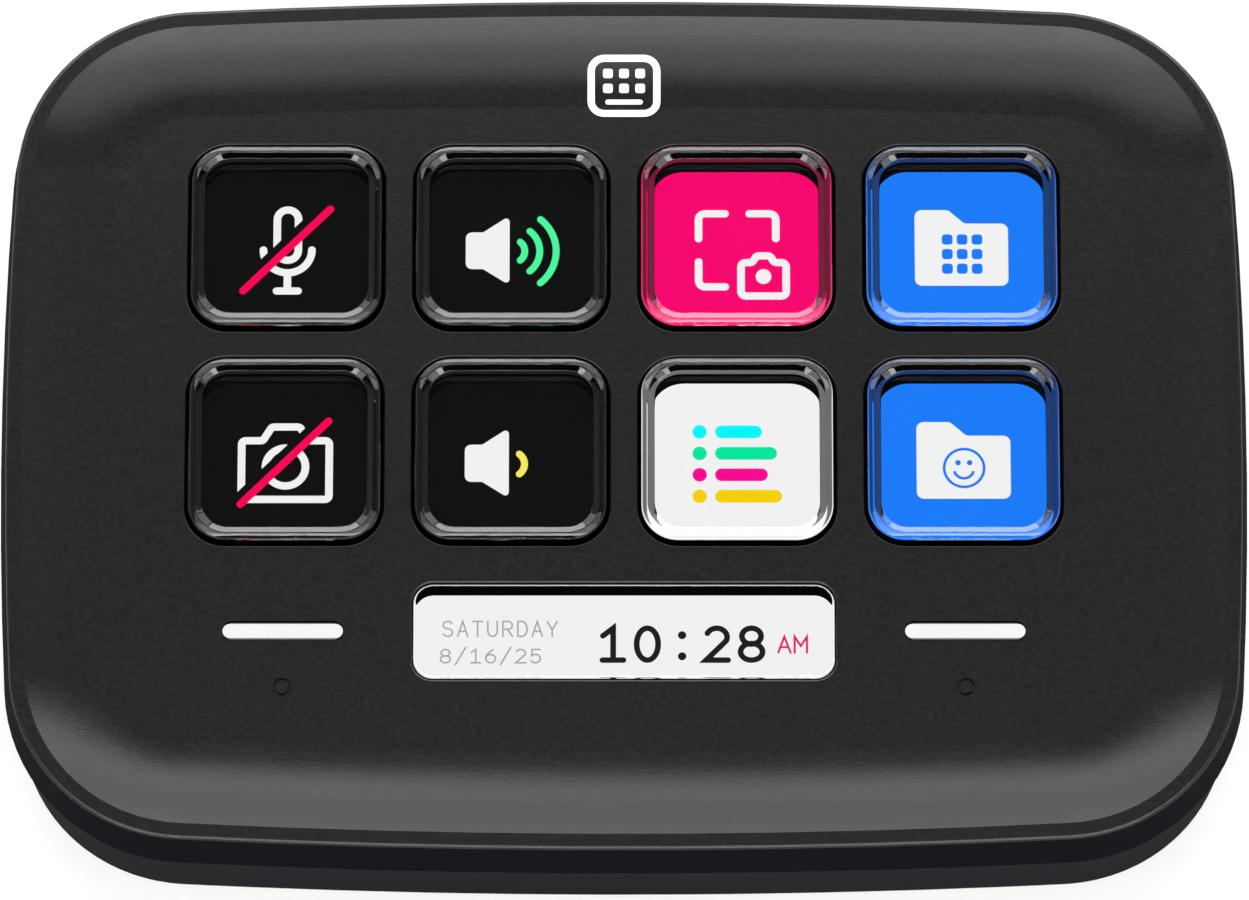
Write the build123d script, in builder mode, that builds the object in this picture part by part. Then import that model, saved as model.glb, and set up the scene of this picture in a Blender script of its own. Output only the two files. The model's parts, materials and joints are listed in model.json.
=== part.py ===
from build123d import *
from math import atan2, cos, degrees, hypot, radians, sin, sqrt, tan
import os

os.makedirs("parts", exist_ok=True)

# ------------------------------------------------------------------ driving dimensions
# All in millimetres and degrees. +X is right, +Y is the rear, +Z is up.
# "Depth" is measured at right angles to the tilted face, down from the plane of its rim.

# Outline of the face: eight tangent arcs, the same shape at every depth.
face_width = 106.2
face_depth = 77.0
long_edge_radius = 738.0
side_edge_radius = 410.0
corner_radius = 15.4
face_tilt = 8.0

# Top shell: raised flat rim, dished face, skirt that flares towards the seam.
rim_width = 1.4
rim_edge_round = 0.35
dish_depth = 1.0
dish_run = 8.0
plate_thickness = 1.8
skirt_height = 5.0
skirt_flare = 0.62
skirt_wall = 1.2

# Base shell: wedge whose walls draw in below the seam.
base_front_height = 10.0
base_draft = 4.8
base_wall = 2.0
base_floor = 2.2
base_edge_round = 0.8
seam_reveal = 0.12
seam_chamfer = 0.25
lip_rise = 1.5
lip_drop = 2.0
lip_wall = 0.9
lip_clearance = 0.1

# Keys: clear caps on a square grid, pushed up against the cover by silicone collars.
key_columns = 4
key_rows = 2
key_pitch = 19.44
key_grid_shift = 7.25
key_bridge = 2.49
key_opening_radius = 3.4
opening_round = 0.2
key_gap = 0.25
key_stand = 0.8
cap_edge_round = 0.3
well_inset = 1.175
well_radius = 2.3
well_drop = 0.23
well_wall_run = 0.8
key_travel = 1.2
flange_spacing = 1.2
flange_thickness = 0.7
block_inset = 0.75
block_clearance = 0.2
frame_thickness = 0.4
frame_gap = 0.05
collar_wall = 0.6
collar_spread = 0.6
collar_packed = 0.4
collar_gap = 0.35

# Info window, light bars and touch marks in the front part of the face.
window_width = 36.2
window_height = 8.6
window_radius = 1.8
window_drop = 16.25
lens_gap = 0.1
lens_flange = 1.1
lens_end_gap = 0.3
bar_length = 10.4
bar_height = 1.8
bar_drop = 16.25
touch_drop = 5.0
touch_ring_radius = 0.78
touch_dome_radius = 0.6
touch_ring_depth = 0.25
touch_pad_radius = 2.0

# Key board and display stack.
board_edge_gap = 3.6
board_corner = 8.0
board_thickness = 0.5
board_window_gap = 0.25
mask_thickness = 0.1
tile_inset = 0.025
tile_radius = 1.6
strip_margin = 0.3
panel_border = 3.2
panel_thickness = 1.2
diffuser_thickness = 0.3
guide_thickness = 1.4
reflector_thickness = 0.1
tray_sheet = 0.3
tray_gap = 0.1
led_count = 7
led_spacing = 7.0
led_length = 3.0
led_width = 0.8
led_height = 1.0
led_gap = 0.1
ear_width = 5.0

# Screws and the posts that they turn into.
thread_gap = 0.05
shank_gap = 0.15
socket_depth_share = 0.5
small_screw_radius = 0.9
small_head_radius = 1.75
small_head_height = 1.2
small_screw_length = 3.0
display_post_radius = 2.2
display_post_stand_off = 3.7
display_post_pitch = 14.0
case_screw_radius = 1.2
case_head_radius = 2.2
case_head_height = 1.7
case_screw_length = 7.0
case_post_radius = 2.6
case_post_inset = 10.1
case_joint_depth = 9.8
case_seat = 3.0
case_well_gap = 0.3
case_well_wall = 1.1

# Main board, level in the base, and what stands on it.
main_width = 56.0
main_depth = 29.0
main_thickness = 1.2
main_standoff = 2.8
main_wall_gap = 1.0
standoff_radius = 2.2
standoff_inset = 3.0
socket_width = 8.94
socket_height = 3.16
socket_length = 7.35
socket_sheet = 0.3
socket_set_back = 0.3
socket_hole_gap = 0.35
tongue_width = 6.69
tongue_thickness = 0.7
tongue_length = 4.45
tongue_root = 1.2
package_gap = 1.0
package_chamfer = 0.1
chip_size = 9.0
chip_height = 1.0
chip_x = 12.0
memory_length = 5.3
memory_width = 5.2
memory_height = 1.5
memory_x = -6.0
regulator_size = 3.0
regulator_height = 1.1
regulator_x = -14.0
regulator_y = 7.0
crystal_length = 3.2
crystal_width = 2.5
crystal_height = 0.8
crystal_x = 20.5
flex_thickness = 0.2
display_flex_width = 22.0
display_flex_x = -15.0
key_flex_width = 10.0
key_flex_x = 15.0
key_flex_lap = 2.0
connector_depth = 4.0
connector_height = 2.0
connector_margin = 1.5
connector_set_back = 8.0
flex_bend = 1.0
flex_drop = 5.0
flex_rise = 2.5
display_flex_run_out = 1.8
key_flex_run_out = 3.2

# Weight plate and foot.
weight_side_gap = 15.0
weight_board_gap = 2.5
weight_thickness = 4.2
weight_corner = 3.0
weight_wall_gap = 4.0
weight_screw_inset = 8.0
weight_screw_bite = 1.1
foot_inset = 2.6
foot_band = 11.0
foot_window_radius = 6.0
foot_gap = 0.1
foot_thickness = 1.2
foot_proud = 0.4

# ------------------------------------------------------------------ derived places
tilt = radians(face_tilt)
half_width = face_width / 2
half_depth = face_depth / 2

# Depths of the layers under the rim plane.
plate_under = dish_depth + plate_thickness
key_opening = key_pitch - key_bridge
cap_top = dish_depth - key_stand
cap_size = key_opening - 2 * key_gap
cap_radius = key_opening_radius - key_gap
flange_size = key_pitch - flange_spacing
flange_radius = key_opening_radius + (flange_size - key_opening) / 2
flange_under = plate_under + flange_thickness
block_size = cap_size - 2 * block_inset
block_radius = cap_radius - block_inset / 2
well_size = cap_size - 2 * well_inset
tile_size = block_size - 2 * tile_inset
frame_under = flange_under + frame_thickness
board_top = frame_under + key_travel + collar_packed
board_under = board_top + board_thickness
block_under = board_under - key_travel - block_clearance
panel_top = board_under + mask_thickness
panel_under = panel_top + panel_thickness
guide_top = panel_under + diffuser_thickness
guide_under = guide_top + guide_thickness
tray_floor_top = guide_under + reflector_thickness
tray_under = tray_floor_top + tray_sheet
base_front_depth = skirt_height + base_front_height
base_top_grow = skirt_flare - seam_reveal
draft_slope = tan(radians(base_draft))

# The rim plane is placed so that the foot stands on Z = 0 and the housing is centred in Y.
floor_under = foot_proud
floor_top = floor_under + base_floor
face_z = half_depth * sin(tilt) + base_front_depth * cos(tilt) + floor_under


def wall_reach(height, side):
    """Y of the base's outer wall from the face's origin, at a height; side is 1 rear, -1 front."""
    reach = half_depth + base_top_grow + draft_slope * skirt_height
    depth = (face_z + side * reach * sin(tilt) - height) / (cos(tilt) + side * draft_slope * sin(tilt))
    return side * (reach - draft_slope * depth) * cos(tilt) + depth * sin(tilt)


face_y = (half_depth * cos(tilt) - wall_reach(floor_under + base_edge_round, 1)) / 2
face = Plane(origin=(0, face_y, face_z), x_dir=(1, 0, 0), z_dir=(0, -sin(tilt), cos(tilt)))
face_axis = Axis(face.origin, face.z_dir)

# Grid places, all in face coordinates (x, y).
column_xs = [(column - (key_columns - 1) / 2) * key_pitch for column in range(key_columns)]
row_ys = [key_grid_shift + ((key_rows - 1) / 2 - row) * key_pitch for row in range(key_rows)]
key_spots = [(x, y) for y in row_ys for x in column_xs]
bar_y = row_ys[-1] - bar_drop
touch_y = bar_y - touch_drop
bar_spots = [(column_xs[0], bar_y), (column_xs[-1], bar_y)]
touch_spots = [(column_xs[0], touch_y), (column_xs[-1], touch_y)]
window_spot = (0, row_ys[-1] - window_drop)

# The display covers all tiles and the info strip; the key board fills the space inside the lip.
display_rear = row_ys[0] + tile_size / 2
display_front = window_spot[1] - window_height / 2
display_shift = (display_rear + display_front) / 2
panel_width = column_xs[-1] - column_xs[0] + tile_size + 2 * panel_border
panel_depth = display_rear - display_front + 2 * panel_border
tray_width = panel_width + 2 * (tray_gap + tray_sheet)
tray_depth = panel_depth + 2 * (tray_gap + tray_sheet)
lip_inset = skirt_wall + lip_clearance + lip_wall
board_width = face_width - 2 * (lip_inset + board_edge_gap)
board_depth = face_depth - 2 * (lip_inset + board_edge_gap)
display_post_x = tray_width / 2 + display_post_stand_off
display_post_ys = (-display_post_pitch, 0, display_post_pitch)
display_post_spots = [(x, y) for x in (-display_post_x, display_post_x) for y in display_post_ys]
case_post_x = half_width - case_post_inset
case_post_y = half_depth - case_post_inset
case_post_spots = [(x, y) for x in (-case_post_x, case_post_x) for y in (-case_post_y, case_post_y)]


def at_depth(depth):
    """Plane parallel to the face, a depth below the rim plane."""
    return face.offset(-depth)


def at_height(height):
    """Level plane at a height above the desk."""
    return Plane.XY.offset(height)


def outline_arcs():
    """The eight arcs of the outline as centre, radius, start angle and size, anticlockwise.

    The long edges and the sides are arcs of large radius about centres on the axes; each corner arc
    touches both, so its centre is the corner of a triangle with three known sides.
    """
    long_centre = half_depth - long_edge_radius
    side_centre = half_width - side_edge_radius
    to_long = long_edge_radius - corner_radius
    to_side = side_edge_radius - corner_radius
    base = hypot(side_centre, long_centre)
    along = (base**2 + to_long**2 - to_side**2) / (2 * base)
    across = sqrt(to_long**2 - along**2)
    unit_x = side_centre / base
    unit_y = -long_centre / base
    corner_x = unit_x * along + unit_y * across
    corner_y = long_centre + unit_y * along - unit_x * across
    long_half = degrees(atan2(corner_x, corner_y - long_centre))
    side_half = degrees(atan2(corner_y, corner_x - side_centre))
    corner_size = 90 - long_half - side_half
    return [
        ((side_centre, 0), side_edge_radius, -side_half, 2 * side_half),
        ((corner_x, corner_y), corner_radius, side_half, corner_size),
        ((0, long_centre), long_edge_radius, 90 - long_half, 2 * long_half),
        ((-corner_x, corner_y), corner_radius, 90 + long_half, corner_size),
        ((-side_centre, 0), side_edge_radius, 180 - side_half, 2 * side_half),
        ((-corner_x, -corner_y), corner_radius, 180 + side_half, corner_size),
        ((0, -long_centre), long_edge_radius, 270 - long_half, 2 * long_half),
        ((corner_x, -corner_y), corner_radius, 270 + long_half, corner_size),
    ]


def outline(grow):
    """The outline as a flat face, moved outwards by grow on every side."""
    with BuildSketch() as flat:
        with BuildLine():
            for centre, radius, start, size in outline_arcs():
                CenterArc(centre, radius + grow, start, size)
        make_face()
    return flat.sketch


def save(builder, name):
    """Label the finished piece and write it as the STEP file of its node."""
    builder.part.label = name
    export_step(builder.part, f"parts/{name}.step")


# ------------------------------------------------------------------ top shell
# One moulding: ruled skirt, flat rim, dished face with its openings, and posts on the underside.
with BuildPart() as top_shell:
    with BuildSketch(at_depth(0)):
        add(outline(0))
    with BuildSketch(at_depth(skirt_height)):
        add(outline(skirt_flare))
    loft(ruled=True)
    fillet(top_shell.faces().filter_by(face_axis).sort_by(face_axis)[-1].edges(), rim_edge_round)
    with BuildSketch(at_depth(skirt_height)):
        add(outline(-skirt_wall))
    extrude(amount=skirt_height - plate_under, mode=Mode.SUBTRACT)
    # Dish: one ring segment of circular section for each arc of the outline, then its flat floor.
    dish_radius = (dish_run**2 + dish_depth**2) / (2 * dish_depth)
    for centre, radius, start, size in outline_arcs():
        crease = radius - rim_width
        radial = face.x_dir * cos(radians(start)) + face.y_dir * sin(radians(start))
        centre_point = face.from_local_coords(Vector(*centre, 0))
        with BuildSketch(Plane(origin=centre_point, x_dir=radial, z_dir=radial.cross(face.z_dir))):
            with BuildLine():
                RadiusArc((crease - dish_run, -dish_depth), (crease, 0), -dish_radius)
                Polyline(
                    (crease, 0),
                    (crease, dish_depth),
                    (crease - dish_run, dish_depth),
                    (crease - dish_run, -dish_depth),
                )
            make_face()
        revolve(
            axis=Axis(centre_point, face.z_dir),
            revolution_arc=size,
            mode=Mode.SUBTRACT,
        )
    with BuildSketch(at_depth(dish_depth)):
        add(outline(-rim_width - dish_run))
    extrude(amount=2 * dish_depth, mode=Mode.SUBTRACT)
    # Openings for keys, window and light bars, with softened edges.
    with BuildSketch(at_depth(plate_under)):
        with Locations(*key_spots):
            RectangleRounded(key_opening, key_opening, key_opening_radius)
        with Locations(window_spot):
            RectangleRounded(window_width, window_height, window_radius)
        with Locations(*bar_spots):
            SlotOverall(bar_length, bar_height)
    extrude(amount=plate_thickness, mode=Mode.SUBTRACT)
    dish_floor = top_shell.faces().filter_by(face_axis).group_by(face_axis)[-2].sort_by(SortBy.AREA)[-1]
    large_openings = dish_floor.inner_wires().sort_by(SortBy.LENGTH)[len(bar_spots):]
    fillet(large_openings.edges(), opening_round)
    # Touch marks: a fine ring groove around a small island.
    with BuildSketch(at_depth(dish_depth)):
        with Locations(*touch_spots):
            Circle(touch_ring_radius)
            Circle(touch_dome_radius, mode=Mode.SUBTRACT)
    extrude(amount=-touch_ring_depth, mode=Mode.SUBTRACT)
    # Posts for the display screws and for the case screws, with their pilot holes.
    with BuildSketch(at_depth(board_top)):
        with Locations(*display_post_spots):
            Circle(display_post_radius)
    extrude(amount=board_top - plate_under)
    with BuildSketch(at_depth(case_joint_depth)):
        with Locations(*case_post_spots):
            Circle(case_post_radius)
    extrude(amount=case_joint_depth - plate_under)
    with BuildSketch(at_depth(board_top)):
        with Locations(*display_post_spots):
            Circle(small_screw_radius + thread_gap)
    extrude(amount=small_screw_length - board_thickness, mode=Mode.SUBTRACT)
    with BuildSketch(at_depth(case_joint_depth)):
        with Locations(*case_post_spots):
            Circle(case_screw_radius + thread_gap)
    extrude(amount=case_screw_length - case_seat + thread_gap, mode=Mode.SUBTRACT)
save(top_shell, "top_shell")

# ------------------------------------------------------------------ base shell
# A drafted wedge cut level at the bottom, hollowed above its floor, with a lip inside the cover's
# skirt, deep wells for the case screws, standoffs for the main board and a recess for the foot.
deepest = base_front_depth + 2 * face_depth * tan(tilt)
deepest_draw = draft_slope * (deepest - skirt_height)

with BuildPart() as base_hollow:
    with BuildSketch(at_depth(skirt_height)):
        add(outline(base_top_grow - base_wall))
    with BuildSketch(at_depth(deepest)):
        add(outline(base_top_grow - base_wall - deepest_draw))
    loft(ruled=True)
    split(bisect_by=at_height(floor_top), keep=Keep.TOP)

main_rear = face_y + wall_reach(floor_top, 1) - base_wall - main_wall_gap
main_y = main_rear - main_depth / 2
main_under = floor_top + main_standoff
main_top = main_under + main_thickness
main_screw_x = main_width / 2 - standoff_inset
main_screw_y = main_depth / 2 - standoff_inset
main_screw_spots = [(x, main_y + y) for x in (-main_screw_x, main_screw_x)
                    for y in (-main_screw_y, main_screw_y)]
socket_z = main_top + socket_height / 2
socket_mouth_y = face_y + wall_reach(socket_z, 1) - socket_set_back
weight_front = face_y + wall_reach(floor_top, -1) + base_wall + weight_wall_gap
weight_rear = main_rear - main_depth - weight_board_gap
weight_y = (weight_front + weight_rear) / 2
weight_width = face_width - 2 * weight_side_gap
weight_screw_x = weight_width / 2 - weight_screw_inset
weight_screw_spots = [(-weight_screw_x, weight_y), (weight_screw_x, weight_y)]
foot_y = face_y + (wall_reach(floor_under, 1) + wall_reach(floor_under, -1)) / 2
foot_grow = base_top_grow - draft_slope * base_front_height - foot_inset
foot_recess = foot_thickness - foot_proud
foot_window_width = face_width + 2 * (foot_grow - foot_band)
foot_window_depth = face_depth + 2 * (foot_grow - foot_band)
well_radius = case_head_radius + case_well_gap
seat_depth = case_joint_depth + case_seat

with BuildPart() as base_shell:
    with BuildSketch(at_depth(skirt_height)):
        add(outline(base_top_grow))
    with BuildSketch(at_depth(deepest)):
        add(outline(base_top_grow - deepest_draw))
    loft(ruled=True)
    chamfer(base_shell.faces().filter_by(face_axis).sort_by(face_axis)[-1].edges(), seam_chamfer)
    add(base_hollow.part, mode=Mode.SUBTRACT)
    with BuildSketch(at_depth(case_joint_depth)):
        with Locations(*case_post_spots):
            Circle(well_radius + case_well_wall)
    extrude(amount=case_joint_depth - deepest)
    split(bisect_by=at_height(floor_under), keep=Keep.TOP)
    fillet(base_shell.faces().filter_by(Axis.Z).sort_by(Axis.Z)[0].edges(), base_edge_round)
    # Lip that locates the cover.
    with BuildSketch(at_depth(skirt_height + lip_drop)):
        add(outline(lip_wall - lip_inset))
        add(outline(-lip_inset), mode=Mode.SUBTRACT)
    extrude(amount=lip_rise + lip_drop)
    # Wells and clearance holes of the case screws.
    with BuildSketch(at_depth(seat_depth)):
        with Locations(*case_post_spots):
            Circle(well_radius)
    extrude(amount=seat_depth - deepest, mode=Mode.SUBTRACT)
    with BuildSketch(at_depth(seat_depth)):
        with Locations(*case_post_spots):
            Circle(case_screw_radius + shank_gap)
    extrude(amount=case_seat, mode=Mode.SUBTRACT)
    # Standoffs with their pilot holes, and the blind holes for the weight's screws.
    with BuildSketch(at_height(floor_top)):
        with Locations(*main_screw_spots):
            Circle(standoff_radius)
    extrude(amount=main_standoff)
    with BuildSketch(at_height(main_under)):
        with Locations(*main_screw_spots):
            Circle(small_screw_radius + thread_gap)
    extrude(amount=main_thickness - small_screw_length - thread_gap, mode=Mode.SUBTRACT)
    with BuildSketch(at_height(floor_top)):
        with Locations(*weight_screw_spots):
            Circle(small_screw_radius + thread_gap)
    extrude(amount=-weight_screw_bite - thread_gap, mode=Mode.SUBTRACT)
    # Recess for the foot, and the hole for the USB socket in the rear wall.
    with BuildSketch(at_height(floor_under)):
        with Locations((0, foot_y)):
            add(outline(foot_grow + foot_gap))
            RectangleRounded(
                foot_window_width - 2 * foot_gap,
                foot_window_depth - 2 * foot_gap,
                foot_window_radius - foot_gap,
                mode=Mode.SUBTRACT,
            )
    extrude(amount=foot_recess, mode=Mode.SUBTRACT)
    with BuildSketch(Plane.XZ.offset(-socket_mouth_y)):
        with Locations((0, socket_z)):
            SlotOverall(socket_width + 2 * socket_hole_gap, socket_height + 2 * socket_hole_gap)
    extrude(amount=base_wall + main_wall_gap, both=True, mode=Mode.SUBTRACT)
save(base_shell, "base_shell")

# ------------------------------------------------------------------ foot and weight
# Rubber ring bonded into the underside; it also hides the heads of the case screws.
with BuildPart() as foot_pad:
    with BuildSketch(at_height(0)):
        with Locations((0, foot_y)):
            add(outline(foot_grow))
            RectangleRounded(
                foot_window_width, foot_window_depth, foot_window_radius, mode=Mode.SUBTRACT
            )
    extrude(amount=foot_thickness)
save(foot_pad, "foot_pad")

# Steel plate screwed to the floor in front of the main board, so that keys don't push the case away.
with BuildPart() as weight_plate:
    with BuildSketch(at_height(floor_top)):
        with Locations((0, weight_y)):
            RectangleRounded(weight_width, weight_rear - weight_front, weight_corner)
        with Locations(*weight_screw_spots):
            Circle(small_screw_radius + shank_gap, mode=Mode.SUBTRACT)
    extrude(amount=weight_thickness)
save(weight_plate, "weight_plate")

# ------------------------------------------------------------------ display stack
# Key board: one circuit board over the display, with a window for each key, lens and light bar.
lens_width = window_width - 2 * lens_gap
lens_height = window_height - 2 * lens_gap
lens_radius = window_radius - lens_gap
pipe_length = bar_length - 2 * lens_gap
pipe_height = bar_height - 2 * lens_gap
lens_end = panel_top - lens_end_gap

with BuildPart() as key_board:
    with BuildSketch(at_depth(board_under)):
        RectangleRounded(board_width, board_depth, board_corner)
        with Locations(*key_spots):
            RectangleRounded(
                block_size + 2 * board_window_gap,
                block_size + 2 * board_window_gap,
                block_radius + board_window_gap,
                mode=Mode.SUBTRACT,
            )
        with Locations(window_spot):
            RectangleRounded(
                lens_width + 2 * board_window_gap,
                lens_height + 2 * board_window_gap,
                lens_radius + board_window_gap,
                mode=Mode.SUBTRACT,
            )
        with Locations(*bar_spots):
            SlotOverall(
                pipe_length + 2 * board_window_gap, pipe_height + 2 * board_window_gap, mode=Mode.SUBTRACT
            )
        with Locations(*case_post_spots):
            Circle(case_post_radius + board_window_gap, mode=Mode.SUBTRACT)
        with Locations(*display_post_spots):
            Circle(small_screw_radius + shank_gap, mode=Mode.SUBTRACT)
    extrude(amount=board_thickness)
save(key_board, "key_board")

# Black film that frames each lit tile of the display.
with BuildPart() as display_mask:
    with BuildSketch(at_depth(panel_top)):
        with Locations((0, display_shift)):
            Rectangle(panel_width, panel_depth)
        with Locations(*key_spots):
            RectangleRounded(tile_size, tile_size, tile_radius, mode=Mode.SUBTRACT)
        with Locations(window_spot):
            RectangleRounded(
                lens_width + 2 * strip_margin, lens_height + 2 * strip_margin, lens_radius, mode=Mode.SUBTRACT
            )
        with Locations(*bar_spots):
            SlotOverall(pipe_length + 2 * strip_margin, pipe_height + 2 * strip_margin, mode=Mode.SUBTRACT)
    extrude(amount=mask_thickness)
save(display_mask, "display_mask")

# Liquid crystal panel.
with BuildPart() as lcd_panel:
    with BuildSketch(at_depth(panel_under)):
        with Locations((0, display_shift)):
            Rectangle(panel_width, panel_depth)
    extrude(amount=panel_thickness)
save(lcd_panel, "lcd_panel")

# Diffuser over the light guide.
with BuildPart() as diffuser_sheet:
    with BuildSketch(at_depth(guide_top)):
        with Locations((0, display_shift)):
            Rectangle(panel_width, panel_depth)
    extrude(amount=diffuser_thickness)
save(diffuser_sheet, "diffuser_sheet")

# Clear light guide, shorter than the panel so that the row of lamps fits along its front edge.
led_strip = led_width + 2 * led_gap
with BuildPart() as light_guide:
    with BuildSketch(at_depth(guide_under)):
        with Locations((0, display_shift + led_strip / 2)):
            Rectangle(panel_width, panel_depth - led_strip)
    extrude(amount=guide_thickness)
save(light_guide, "light_guide")

with BuildPart() as backlight_leds:
    with BuildSketch(at_depth(guide_under)):
        with Locations((0, display_shift - panel_depth / 2 + led_gap + led_width / 2)):
            with GridLocations(led_length + led_spacing, 0, led_count, 1):
                Rectangle(led_length, led_width)
    extrude(amount=led_height)
save(backlight_leds, "backlight_leds")

with BuildPart() as reflector_sheet:
    with BuildSketch(at_depth(tray_floor_top)):
        with Locations((0, display_shift)):
            Rectangle(panel_width, panel_depth)
    extrude(amount=reflector_thickness)
save(reflector_sheet, "reflector_sheet")

# Folded steel tray that holds the stack, with an ear at each display post and a notch for the cable.
ear_length = display_post_stand_off + ear_width / 2

with BuildPart() as display_frame:
    with BuildSketch(at_depth(tray_under)):
        with Locations((0, display_shift)):
            Rectangle(tray_width, tray_depth)
    extrude(amount=tray_under - board_under)
    with BuildSketch(at_depth(tray_floor_top)):
        with Locations((0, display_shift)):
            Rectangle(panel_width + 2 * tray_gap, panel_depth + 2 * tray_gap)
    extrude(amount=tray_floor_top - board_under, mode=Mode.SUBTRACT)
    with BuildSketch(at_depth(board_under + tray_sheet)):
        for side in (-1, 1):
            for y in display_post_ys:
                with Locations((side * (tray_width + ear_length) / 2, y)):
                    Rectangle(ear_length, ear_width)
        with Locations(*display_post_spots):
            Circle(small_screw_radius + shank_gap, mode=Mode.SUBTRACT)
    extrude(amount=tray_sheet)
    with BuildSketch(at_depth(tray_floor_top)):
        with Locations((display_flex_x, display_shift + tray_depth / 2)):
            Rectangle(display_flex_width + 2 * connector_margin, 2 * tray_sheet)
    extrude(amount=tray_floor_top - panel_top, mode=Mode.SUBTRACT)
save(display_frame, "display_frame")

# ------------------------------------------------------------------ clear parts of the cover
# Info window: a thick lens held by its flange, reaching through the key board to the display.
with BuildPart() as info_window:
    with BuildSketch(at_depth(lens_end)):
        with Locations(window_spot):
            RectangleRounded(lens_width, lens_height, lens_radius)
    extrude(amount=lens_end - dish_depth)
    fillet(info_window.faces().filter_by(face_axis).sort_by(face_axis)[-1].edges(), opening_round)
    with BuildSketch(at_depth(flange_under)):
        with Locations(window_spot):
            RectangleRounded(
                lens_width + 2 * lens_flange, lens_height + 2 * lens_flange, lens_radius + lens_flange
            )
    extrude(amount=flange_thickness)
save(info_window, "info_window")

# Light bars: diffusing pipes of the same build.
for name, spot in zip(("light_bar_left", "light_bar_right"), bar_spots):
    with BuildPart() as light_bar:
        with BuildSketch(at_depth(lens_end)):
            with Locations(spot):
                SlotOverall(pipe_length, pipe_height)
        extrude(amount=lens_end - dish_depth)
        fillet(light_bar.faces().filter_by(face_axis).sort_by(face_axis)[-1].edges(), opening_round)
        with BuildSketch(at_depth(flange_under)):
            with Locations(spot):
                SlotOverall(pipe_length + 2 * lens_flange, pipe_height + 2 * lens_flange)
        extrude(amount=flange_thickness)
    save(light_bar, name)

# Touch pads: conductive rubber between the key board and the inside of the cover.
for name, spot in zip(("touch_pad_left", "touch_pad_right"), touch_spots):
    with BuildPart() as touch_pad:
        with BuildSketch(at_depth(board_top)):
            with Locations(spot):
                Circle(touch_pad_radius)
        extrude(amount=board_top - plate_under)
    save(touch_pad, name)

# ------------------------------------------------------------------ keys
# Each key is a clear cap with a shallow well on top, a flange under the cover and a block that
# reaches down to the display, a black frame bonded under the flange, and the silicone collar that
# carries both.
collar_inner = block_size + 2 * collar_gap
collar_outer = collar_inner + 2 * collar_wall
collar_inner_radius = block_radius + collar_gap
collar_outer_radius = collar_inner_radius + collar_wall

for number, spot in enumerate(key_spots, start=1):
    with BuildPart() as key_cap:
        with BuildSketch(at_depth(flange_under)):
            with Locations(spot):
                RectangleRounded(cap_size, cap_size, cap_radius)
        extrude(amount=flange_under - cap_top)
        fillet(key_cap.faces().filter_by(face_axis).sort_by(face_axis)[-1].edges(), cap_edge_round)
        # Flat well in the top, whose walls slope up to the rim.
        with BuildSketch(at_depth(cap_top + well_drop)):
            with Locations(spot):
                RectangleRounded(well_size, well_size, well_radius)
        with BuildSketch(at_depth(cap_top)):
            with Locations(spot):
                RectangleRounded(
                    well_size + 2 * well_wall_run,
                    well_size + 2 * well_wall_run,
                    well_radius + well_wall_run,
                )
        loft(ruled=True, mode=Mode.SUBTRACT)
        with BuildSketch(at_depth(flange_under)):
            with Locations(spot):
                RectangleRounded(flange_size, flange_size, flange_radius)
        extrude(amount=flange_thickness)
        with BuildSketch(at_depth(block_under)):
            with Locations(spot):
                RectangleRounded(block_size, block_size, block_radius)
        extrude(amount=block_under - flange_under)
    save(key_cap, f"key_cap_{number}")

    with BuildPart() as key_frame:
        with BuildSketch(at_depth(frame_under)):
            with Locations(spot):
                RectangleRounded(flange_size, flange_size, flange_radius)
                RectangleRounded(
                    block_size + 2 * frame_gap,
                    block_size + 2 * frame_gap,
                    block_radius + frame_gap,
                    mode=Mode.SUBTRACT,
                )
        extrude(amount=frame_thickness)
    save(key_frame, f"key_frame_{number}")

    with BuildPart() as key_collar:
        with BuildSketch(at_depth(frame_under)):
            with Locations(spot):
                RectangleRounded(collar_outer, collar_outer, collar_outer_radius)
        with BuildSketch(at_depth(board_top)):
            with Locations(spot):
                RectangleRounded(
                    collar_outer + 2 * collar_spread,
                    collar_outer + 2 * collar_spread,
                    collar_outer_radius + collar_spread,
                )
        loft(ruled=True)
        with BuildSketch(at_depth(frame_under)):
            with Locations(spot):
                RectangleRounded(collar_inner, collar_inner, collar_inner_radius)
        with BuildSketch(at_depth(board_top)):
            with Locations(spot):
                RectangleRounded(
                    collar_inner + 2 * collar_spread,
                    collar_inner + 2 * collar_spread,
                    collar_inner_radius + collar_spread,
                )
        loft(ruled=True, mode=Mode.SUBTRACT)
    save(key_collar, f"key_collar_{number}")

# ------------------------------------------------------------------ main board
connector_y = main_y - main_depth / 2 + connector_set_back
package_row_y = connector_y + connector_depth / 2 + package_gap + chip_size / 2

with BuildPart() as main_board:
    with BuildSketch(at_height(main_under)):
        with Locations((0, main_y)):
            Rectangle(main_width, main_depth)
        with Locations(*main_screw_spots):
            Circle(small_screw_radius + shank_gap, mode=Mode.SUBTRACT)
    extrude(amount=main_thickness)
save(main_board, "main_board")

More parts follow.
